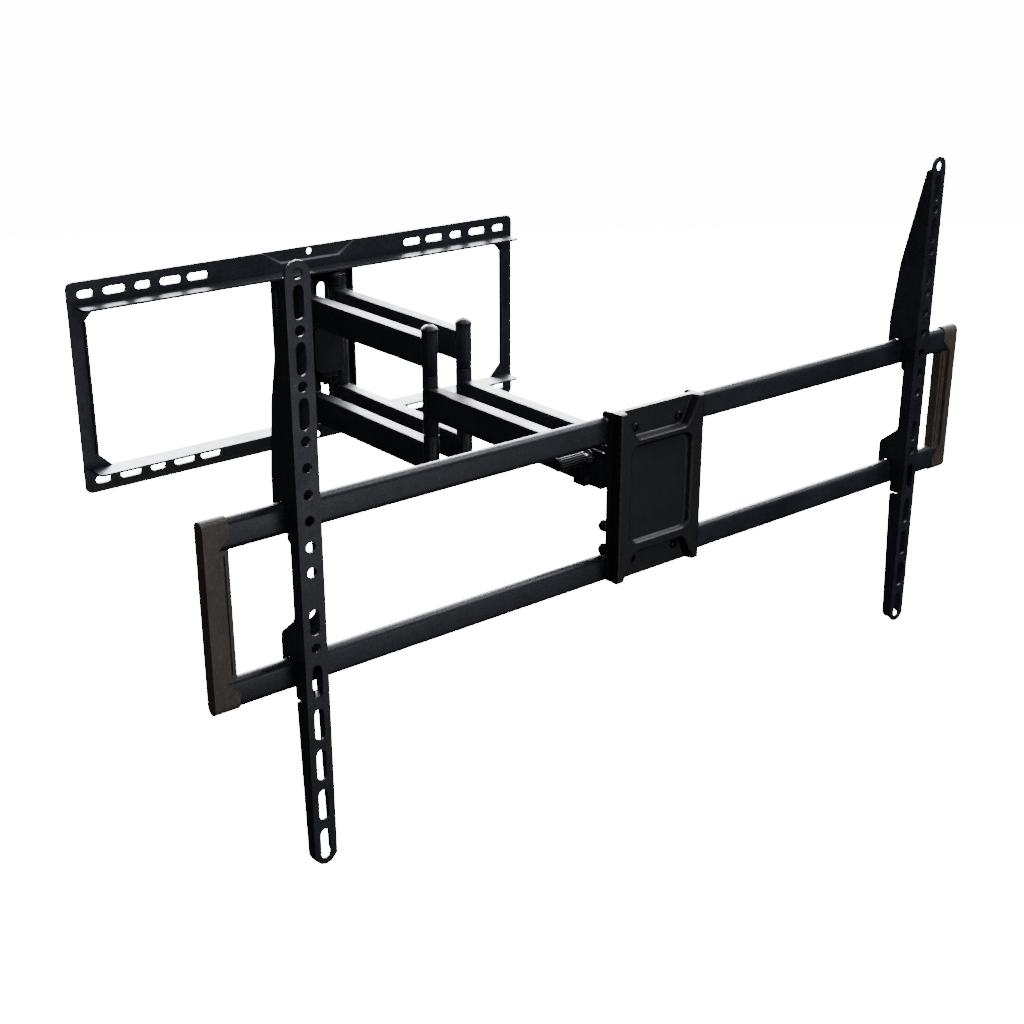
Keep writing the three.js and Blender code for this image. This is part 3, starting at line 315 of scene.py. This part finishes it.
# ------------------------------------------------------------------ turned barrels and caps
# CAD nodes whose piece is made before the last loop, which takes all the others.
DONE = set()
for side, s in (("left", -1), ("right", 1)):
    x = s * ARM_APART
    barrels = [
        ("wall_post", WALL_POST_Y, WALL_POST_R, WALL_POST_BORE),
        ("elbow_knuckle_upper", ELBOW_Y, KNUCKLE_R, KNUCKLE_BORE),
        ("elbow_knuckle_middle", ELBOW_Y, KNUCKLE_R, KNUCKLE_BORE),
        ("elbow_knuckle_lower", ELBOW_Y, KNUCKLE_R, KNUCKLE_BORE),
        ("front_knuckle", FRONT_PIVOT_Y, KNUCKLE_R, KNUCKLE_BORE),
    ]
    for part, y, r, bore in barrels:
        node = side + "_" + part
        low, high = (corner.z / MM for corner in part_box(node))
        profile = [(bore, low), (r - 0.9, low), (r - 0.25, low + 0.25), (r, low + 0.9),
                   (r, high - 0.9), (r - 0.25, high - 0.25), (r - 0.9, high), (bore, high)]
        dressed(turned(node + "_skin", profile, x, y, closed=True), POWDER_COAT, [node])
        DONE.add(node)
    # Elbow caps: a shallow dome with a small dimple in its middle.
    dome = [(5.0, 0), (CAP_R, 0), (CAP_R, 1.9), (CAP_R - 0.35, 2.9), (CAP_R - 1.2, 4.1),
            (CAP_R - 2.8, 5.7), (CAP_R - 4.9, 7.1), (CAP_R - 6.6, 7.8), (CAP_R - 7.6, 7.95),
            (CAP_R - 8.2, 7.6), (2.2, 6.8), (0.6, 6.6)]
    for place, way in (("top", 1), ("bottom", -1)):
        node = f"{side}_elbow_cap_{place}"
        low, high = (corner.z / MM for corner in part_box(node))
        foot = low if way > 0 else high
        cap = turned(node + "_skin", [(r, way * h) for r, h in dome], x, ELBOW_Y, foot)
        dressed(cap, MOULDED_ABS, [node])
        DONE.add(node)


# Long flat-oval tubes of the screen frame.
def oval_ring(x, y, z, inset, steps=14):
    """The tube's outline at one end, set in from its outer face."""
    r = LONG_TUBE_DEPTH / 2 - inset
    straight = LONG_TUBE_HEIGHT / 2 - inset - r
    points = []
    for way, start in ((1, 0.0), (-1, math.pi)):
        for k in range(steps + 1):
            a = start + math.pi * k / steps
            points.append(Vector((x, y + r * math.cos(a), z + way * straight + r * math.sin(a))) * MM)
    return points


for node in ("frame_tube_upper", "frame_tube_lower"):
    low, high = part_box(node)
    middle = (low + high) / 2 / MM
    rings = [oval_ring(x / MM, middle.y, middle.z, inset)
             for x, inset in ((low.x, 0), (high.x, 0), (high.x, LONG_TUBE_WALL), (low.x, LONG_TUBE_WALL))]
    dressed(skin(node + "_skin", rings, closed=True), POWDER_COAT, [node])
    DONE.add(node)


# ------------------------------------------------------------------ moulded head cover
COVER_FLOOR, COVER_RIM, PANEL_DROP = 3.2, 14.2, 6.0
PANEL_HALF, PANEL_TOP, PANEL_BOTTOM, PANEL_CORNER = 46.5, 47, -69, 12
# The notches above and below the panel, inside their rounding: (sideways, in from the cover's edge).
NOTCH = [(-53, -12), (-38, 18), (-33.5, 26), (33.5, 26), (38, 18), (53, -12)]
NOTCH_ROUND = 5
NOTCH_FOOT, NOTCH_SLOPE = 0.6, 3.2
PANEL_LIP, PANEL_SLOPE = 0.4, 4.0
OUTER_ROUND = 2.0
# Shares of the rise and of the drop between which the plastic takes the paler edge tone: partly rubbing by
# hands, partly a painted highlight along the rim's top and the panel's lip.
EDGE_WEAR_AND_HIGHLIGHT_RISE, EDGE_WEAR_AND_HIGHLIGHT_DROP = (0.72, 0.99), (0.02, 0.3)


def away(x, z, corners):
    """Distance from a point to an outline: positive outside it, negative inside."""
    nearest, inside = 1e9, False
    for (ax, az), (bx, bz) in zip(corners, corners[1:] + corners[:1]):
        ex, ez = bx - ax, bz - az
        along = max(0.0, min(1.0, ((x - ax) * ex + (z - az) * ez) / (ex * ex + ez * ez)))
        nearest = min(nearest, math.hypot(x - ax - along * ex, z - az - along * ez))
        if (az > z) != (bz > z) and x < ax + (z - az) * ex / ez:
            inside = not inside
    return -nearest if inside else nearest


def ease(t):
    """0 to 1 as t goes from 0 to 1, flat at both ends."""
    t = max(0.0, min(1.0, t))
    return t * t * (3 - 2 * t)


def cover_height(x, z, low, high):
    """How far the cover stands out from its back at a point, and whether it is marked there for the paler
    edge tone: partly wear, partly a painted highlight.
    """
    notch = min(away(x, high.z - z, NOTCH), away(x, z - low.z, NOTCH)) - NOTCH_ROUND
    middle, half = (PANEL_TOP + PANEL_BOTTOM) / 2, (PANEL_TOP - PANEL_BOTTOM) / 2
    sideways = abs(x) - PANEL_HALF + PANEL_CORNER
    upward = abs(z - middle) - half + PANEL_CORNER
    panel = math.hypot(max(sideways, 0), max(upward, 0)) + min(max(sideways, upward), 0) - PANEL_CORNER
    border = min(x - low.x, high.x - x, z - low.z, high.z - z)
    rise, drop = ease((notch + NOTCH_FOOT) / NOTCH_SLOPE), ease((PANEL_LIP - panel) / PANEL_SLOPE)
    turn = max(OUTER_ROUND - border, 0.0)
    over = OUTER_ROUND - math.sqrt(OUTER_ROUND ** 2 - turn ** 2)
    height = COVER_FLOOR + (COVER_RIM - COVER_FLOOR) * rise - PANEL_DROP * drop - over * rise
    # The rim's top and the panel's lip are marked for the paler tone: partly wear, partly a painted
    # highlight.
    edge_wear_and_highlight = EDGE_WEAR_AND_HIGHLIGHT_RISE[0] < rise < EDGE_WEAR_AND_HIGHLIGHT_RISE[1] or EDGE_WEAR_AND_HIGHLIGHT_DROP[0] < drop < EDGE_WEAR_AND_HIGHLIGHT_DROP[1]
    return height, 1.0 if edge_wear_and_highlight else 0.0


def moulded_cover():
    """The head cover as a 1 mm grid of heights on a flat back."""
    low, high = (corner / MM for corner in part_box("head_cover"))
    across, up = round(high.x - low.x), round(high.z - low.z)
    work = bmesh.new()
    front, wear_and_highlight_marks = [], {}
    for j in range(up + 1):
        z = low.z + (high.z - low.z) * j / up
        row = []
        for i in range(across + 1):
            x = low.x + (high.x - low.x) * i / across
            height, edge = cover_height(x, z, low, high)
            vert = work.verts.new(Vector((x, high.y - height, z)) * MM)
            wear_and_highlight_marks[vert] = edge
            row.append(vert)
        front.append(row)
    wear_and_highlight = []
    for j in range(up):
        for i in range(across):
            corners = (front[j][i], front[j][i + 1], front[j + 1][i + 1], front[j + 1][i])
            work.faces.new(corners)
            wear_and_highlight.append(sum(wear_and_highlight_marks[c] for c in corners) / 4)
    right, left = [row[-1] for row in front[1:]], [row[0] for row in front[-2:0:-1]]
    rim = front[0] + right + front[-1][-2::-1] + left
    back = [work.verts.new((v.co.x, high.y * MM, v.co.z)) for v in rim]
    for i in range(len(rim)):
        j = (i + 1) % len(rim)
        work.faces.new((rim[i], back[i], back[j], rim[j]))
    work.faces.new(back)
    bmesh.ops.recalc_face_normals(work, faces=work.faces)
    mesh = bpy.data.meshes.new("head_cover_skin")
    work.to_mesh(mesh)
    work.free()
    wear_and_highlight += [0.0] * (len(mesh.polygons) - len(wear_and_highlight))
    # Each face keeps the share of its corners marked for the paler edge tone: partly wear, partly a painted
    # highlight.
    mesh.attributes.new("edge", "FLOAT", "FACE").data.foreach_set("value", wear_and_highlight)
    smooth(mesh, 50)
    return new_object("head_cover_skin", mesh)


dressed(moulded_cover(), MOULDED_ABS, ["head_cover"])
DONE.add("head_cover")


# ------------------------------------------------------------------ repeated pieces
def grower(name, **inputs):
    """An empty Geometry Nodes tree with named inputs: name=(socket kind, value)."""
    tree = bpy.data.node_groups.new(name, "GeometryNodeTree")
    tree.interface.new_socket("Geometry", in_out="OUTPUT", socket_type="NodeSocketGeometry")
    for key, (kind, value) in inputs.items():
        socket = tree.interface.new_socket(key.replace("_", " "), in_out="INPUT",
                                           socket_type="NodeSocket" + kind)
        if value is not None:
            socket.default_value = value
    return tree, add(tree, "NodeGroupInput").outputs


def grown(name, tree, **values):
    """A plain mesh grown by a tree with these input values."""
    obj = new_object(name, bpy.data.meshes.new(name))
    modifier = obj.modifiers.new("grown", "NODES")
    modifier.node_group = tree
    for item in tree.interface.items_tree:
        key = item.name.replace(" ", "_")
        if item.in_out == "INPUT" and key in values:
            modifier[item.identifier] = values[key]
    return fixed(obj)


def end_tree(tree, geometry, material):
    """Makes a tree's copies real, shades them softly and gives them their finish."""
    real = add(tree, "GeometryNodeRealizeInstances", {0: geometry}).outputs[0]
    even = add(tree, "GeometryNodeSetShadeSmooth", {0: real}).outputs[0]
    painted = add(tree, "GeometryNodeSetMaterial", {0: even, "Material": material}).outputs[0]
    add(tree, "NodeGroupOutput", {0: painted})


# Weld bead: a line of overlapping puddles, each a little different.
BEAD, bead_in = grower(
    "weld bead", Puddles=("Int", 24), Start=("Vector", (0, 0, 0)), Step=("Vector", (0, 0, 0)),
    Size=("Float", 0.0016), Unevenness=("Float", 0.2), Seed=("Int", GRAIN_SEED), Finish=("Material", None))
line = add(BEAD, "GeometryNodeMeshLine",
           {"Count": bead_in["Puddles"], "Start Location": bead_in["Start"], "Offset": bead_in["Step"]},
           mode="OFFSET")
puddle = add(BEAD, "GeometryNodeMeshIcoSphere", {"Radius": bead_in["Size"], "Subdivisions": 2})
smallest = add(BEAD, "ShaderNodeMath", {0: 1.0, 1: bead_in["Unevenness"]}, operation="SUBTRACT").outputs[0]
sizes = add(BEAD, "FunctionNodeRandomValue", {2: smallest, 3: 1.0, "Seed": bead_in["Seed"]},
            data_type="FLOAT")
puddles = add(BEAD, "GeometryNodeInstanceOnPoints",
              {"Points": line.outputs[0], "Instance": puddle.outputs[0], "Scale": sizes.outputs[1]})
end_tree(BEAD, puddles.outputs[0], bead_in["Finish"])

PUDDLES, PUDDLE_R = 26, 1.3
WELD_MARGIN = 2
TO_KNUCKLE, TO_POST = 3.6, 8.0
weld_lines = []
for side, way in (("left", -1), ("right", 1)):
    for flank in (-1, 1):
        at = way * ARM_APART + flank * (TUBE_HALF_WIDTH + 0.1)
        for foot in (UPPER_TUBE_FOOT, LOWER_TUBE_FOOT):
            weld_lines.append((f"{side}_rear_link", at, ELBOW_Y + TO_KNUCKLE, foot))
            weld_lines.append((f"{side}_rear_link", at, WALL_POST_Y - TO_POST, foot))
        weld_lines.append((f"{side}_front_link", at, ELBOW_Y - TO_KNUCKLE, FRONT_TUBE_FOOT))
        weld_lines.append((f"{side}_front_link", at, FRONT_PIVOT_Y + TO_KNUCKLE, FRONT_TUBE_FOOT))
for i, (body, x, y, foot) in enumerate(weld_lines):
    step = (TUBE_HEIGHT - 2 * WELD_MARGIN) * MM / (PUDDLES - 1)
    bead = grown(f"weld_bead_{i + 1:02d}", BEAD, Puddles=PUDDLES,
                 Start=(x * MM, y * MM, (foot + WELD_MARGIN) * MM), Step=(0, 0, step),
                 Size=PUDDLE_R * MM, Unevenness=0.25, Seed=GRAIN_SEED + i, Finish=POWDER_COAT)
    dressed(bead, POWDER_COAT, body=body)

# Ribbed knob: slim ribs round a smooth core, turned to lie along the tilt bolt.
KNOB, knob_in = grower(
    "ribbed knob", Ribs=("Int", 16), Core_radius=("Float", 0.007), Rib_radius=("Float", 0.0012),
    Length=("Float", 0.036), Middle=("Vector", (0, 0, 0)), Finish=("Material", None))
ring = add(KNOB, "GeometryNodeMeshCircle", {"Vertices": knob_in["Ribs"], "Radius": knob_in["Core radius"]})
rib = add(KNOB, "GeometryNodeMeshCylinder",
          {"Vertices": 10, "Radius": knob_in["Rib radius"], "Depth": knob_in["Length"]})
longer = add(KNOB, "ShaderNodeMath", {0: knob_in["Length"], 1: 0.003}, operation="ADD").outputs[0]
core = add(KNOB, "GeometryNodeMeshCylinder",
           {"Vertices": 48, "Radius": knob_in["Core radius"], "Depth": longer})
ribs = add(KNOB, "GeometryNodeInstanceOnPoints", {"Points": ring.outputs[0], "Instance": rib.outputs[0]})
both = add(KNOB, "GeometryNodeJoinGeometry")
KNOB.links.new(ribs.outputs[0], both.inputs[0])
KNOB.links.new(core.outputs[0], both.inputs[0])
lying = add(KNOB, "GeometryNodeTransform",
            {0: both.outputs[0], "Translation": knob_in["Middle"], "Rotation": (0, math.pi / 2, 0)})
end_tree(KNOB, lying.outputs[0], knob_in["Finish"])
low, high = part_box("tilt_knob")
knob = grown("tilt_knob_skin", KNOB, Ribs=KNOB_RIBS, Core_radius=KNOB_CORE_R * MM,
             Rib_radius=KNOB_RIB_R * MM, Length=(high.x - low.x) - 5 * MM,
             Middle=tuple((low + high) / 2), Finish=MOULDED_ABS)
smooth(knob.data, 40)
dressed(knob, MOULDED_ABS, ["tilt_knob"])
DONE.add("tilt_knob")

# Domed socket screws of the head cover: one head, grown at the four corners of a grid.
SCREWS = [f"head_screw_{level}_{side}" for level in ("top", "bottom") for side in ("left", "right")]


def socket_screw():
    """A domed head with a six-sided socket, pointing up from its seat."""
    steps = 36
    turn = [2 * math.pi * k / steps for k in range(steps)]
    shape = [(2.3, -10.5), (2.3, -0.2), (SCREW_HEAD_R - 0.2, 0.0), (SCREW_HEAD_R, 0.3),
             (SCREW_HEAD_R - 0.1, 0.9), (SCREW_HEAD_R - 0.8, 1.9), (SCREW_HEAD_R - 1.7, 2.6), (2.75, 2.85)]
    rings = [[(r * math.cos(a), r * math.sin(a), h) for a in turn] for r, h in shape]
    for h, flat in ((2.8, 2.1), (1.0, 2.0)):
        hexagon = []
        for a in turn:
            r = flat / math.cos((a % (math.pi / 3)) - math.pi / 6)
            hexagon.append((r * math.cos(a), r * math.sin(a), h))
        rings.append(hexagon)
    return skin("socket_screw", [[Vector(p) * MM for p in ring] for ring in rings])


GRID, grid_in = grower(
    "screws on a grid", Across=("Float", 0.066), Up=("Float", 0.16), Middle=("Vector", (0, 0, 0)),
    Screw=("Object", None), Finish=("Material", None))
corners = add(GRID, "GeometryNodeMeshGrid",
              {"Vertices X": 2, "Vertices Y": 2, "Size X": grid_in["Across"], "Size Y": grid_in["Up"]})
head = add(GRID, "GeometryNodeObjectInfo", {"Object": grid_in["Screw"]})
placed = add(GRID, "GeometryNodeInstanceOnPoints",
             {"Points": corners.outputs[0], "Instance": head.outputs["Geometry"]})
upright = add(GRID, "GeometryNodeTransform",
              {0: placed.outputs[0], "Translation": grid_in["Middle"], "Rotation": (math.pi / 2, 0, 0)})
end_tree(GRID, upright.outputs[0], grid_in["Finish"])
pattern = socket_screw()
boxes = [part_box(n) for n in SCREWS]
seat = boxes[0][0].y + SCREW_HEAD_HEIGHT * MM
heights = [(b[0].z + b[1].z) / 2 for b in boxes]
screws = grown("head_screws_skin", GRID, Across=SCREW_ACROSS * MM, Up=max(heights) - min(heights),
               Middle=(0, seat, (max(heights) + min(heights)) / 2), Screw=pattern, Finish=BLACK_OXIDE)
bpy.data.objects.remove(pattern)
smooth(screws.data, 35)
dressed(screws, BLACK_OXIDE, SCREWS)
DONE.update(SCREWS)

# ------------------------------------------------------------------ the rest, from the CAD's own shape
EDGE_ROUND = {
    "wall_top_rail": 0.7, "wall_bottom_rail": 0.7, "wall_centre_column": 0.6, "wall_pivot_bracket": 0.6,
    "screen_bracket_left": 0.55, "screen_bracket_right": 0.55, "wall_hub_cover": 0.9,
    "end_cap_left": 0.9, "end_cap_right": 0.9,
}
USUAL_ROUND = 0.5
OWN_FINISH = {
    "end_cap_left": MOULDED_NYLON, "end_cap_right": MOULDED_NYLON,
    "head_side_bolt_upper": BLACK_OXIDE, "head_side_bolt_lower": BLACK_OXIDE,
    "hub_screw_left": BLACK_OXIDE, "hub_screw_right": BLACK_OXIDE,
}
END_CAPS = ("end_cap_left", "end_cap_right")
# Grooves down the face of an end cap: (in from its outer end, width, depth), and where they stop.
GROOVES = ((12.7, 1.5, 4.4), (22.0, 1.7, 4.8))
GROOVE_MARGIN = 38


def groove(obj, x, y, low, high, width, depth):
    """Cuts an upright groove into the front face of an end cap."""
    cutter_mesh = bpy.data.meshes.new("groove")
    work = bmesh.new()
    bmesh.ops.create_cube(work, size=1.0)
    work.to_mesh(cutter_mesh)
    work.free()
    cutter = new_object("groove", cutter_mesh)
    size = Vector((width, depth * 2, high - low)) * MM
    place = Matrix.Translation(Vector((x, y, (low + high) / 2)) * MM)
    cutter_mesh.transform(place @ Matrix.Diagonal((*size, 1)))
    modifier = obj.modifiers.new("groove", "BOOLEAN")
    modifier.operation = "DIFFERENCE"
    modifier.solver = "EXACT"
    modifier.object = cutter
    obj = fixed(obj)
    bpy.data.objects.remove(cutter)
    return obj


for node in sorted(NODES):
    if node in DONE:
        continue
    piece = copied(node)
    if node in END_CAPS:
        low, high = (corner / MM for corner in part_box(node))
        way = -1 if node.endswith("left") else 1
        outer = high.x if way > 0 else low.x
        for inward, width, depth in GROOVES:
            piece = groove(piece, outer - way * inward, low.y, low.z + GROOVE_MARGIN,
                           high.z - GROOVE_MARGIN, width, depth)
    piece = rounded(piece, EDGE_ROUND.get(node, USUAL_ROUND), 4 if node in END_CAPS else 2)
    finish = OWN_FINISH.get(node, FINISH_OF_SLOT[SLOT_OF[node]])
    dressed(piece, finish, [node])

# ------------------------------------------------------------------ studio
PALE_FLOOR = bpy.data.materials.new("Plain white studio floor, lit evenly")
PALE_FLOOR.use_nodes = True
tree = PALE_FLOOR.node_tree
tree.nodes.clear()
paper = add(tree, "ShaderNodeTexNoise", {"Vector": add(tree, "ShaderNodeTexCoord").outputs["Object"],
                                         "Scale": 3.0, "Detail": 2.0}).outputs[0]
shade = blend(tree, paper, srgb("#f7f7f6"), srgb("#fbfbfb"))
matt = add(tree, "ShaderNodeBsdfDiffuse", {"Color": shade})
lit = add(tree, "ShaderNodeEmission", {"Color": shade, "Strength": 16.0})
total = add(tree, "ShaderNodeAddShader", {0: matt.outputs[0], 1: lit.outputs[0]})
add(tree, "ShaderNodeOutputMaterial", {"Surface": total.outputs[0]})
FLOOR_HALF, FLOOR_TOP, FLOOR_BOTTOM = 30, -0.60, -0.62
CORNERS = ((-1, -1), (1, -1), (1, 1), (-1, 1))
floor = skin("studio_floor", [[Vector((x * FLOOR_HALF, y * FLOOR_HALF, level)) for x, y in CORNERS]
                              for level in (FLOOR_BOTTOM, FLOOR_TOP)])
floor.data.materials.append(PALE_FLOOR)
floor.visible_diffuse = False
floor.visible_glossy = False
floor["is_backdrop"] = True

world = bpy.data.worlds.new("studio")
bpy.context.scene.world = world
world.use_nodes = True
tree = world.node_tree
tree.nodes.clear()
seen = add(tree, "ShaderNodeLightPath").outputs["Is Camera Ray"]
soft = add(tree, "ShaderNodeBackground", {"Color": srgb("#eef1f6"), "Strength": 0.035})
white = add(tree, "ShaderNodeBackground", {"Color": srgb("#ffffff"), "Strength": 16.0})
sky = add(tree, "ShaderNodeMixShader", {0: seen, 1: soft.outputs[0], 2: white.outputs[0]})
add(tree, "ShaderNodeOutputWorld", {0: sky.outputs[0]})


def panel(name, at, aim, width, height, power, colour="#ffffff"):
    """A soft rectangular studio light."""
    lamp = bpy.data.lights.new(name, "AREA")
    lamp.shape = "RECTANGLE"
    lamp.size, lamp.size_y = width, height
    lamp.energy = power
    lamp.color = srgb(colour)[:3]
    obj = new_object(name, lamp)
    obj.location = at
    obj.rotation_euler = (Vector(aim) - Vector(at)).to_track_quat("-Z", "Y").to_euler()
    obj.visible_camera = False
    return obj


MIDDLE = (0, -0.4, 0)
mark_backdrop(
    panel("long back panel", (2.0, 2.4, 1.3), MIDDLE, 4.6, 2.2, 1300, "#f2f5ff"),
    panel("overhead panel", (0.3, -0.2, 2.4), MIDDLE, 2.2, 2.2, 28),
    panel("upper right panel", (1.5, -1.5, 2.0), MIDDLE, 1.1, 1.1, 48, "#f4f6ff"),
    panel("low front panel", (0.3, -2.5, -0.42), (-0.2, -0.6, 0), 1.3, 0.9, 8, "#f4f6ff"),
    panel("upper front left glint", (-1.7, -2.6, 2.0), MIDDLE, 0.3, 0.3, 16),
    panel("lower left strip", (-2.2, -2.5, -0.85), MIDDLE, 0.5, 0.5, 5),
)

camera = bpy.data.cameras.new("camera")
camera.lens = 55.40
camera.sensor_width = 36.0
camera.clip_end = 100.0
camera.dof.use_dof = False
eye = new_object("camera", camera)
eye.location = (-1.165, -1.890, 0.608)
eye.rotation_euler = (math.radians(90 - 21.52), 0, math.radians(-39.08))
bpy.context.scene.camera = eye

low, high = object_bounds()
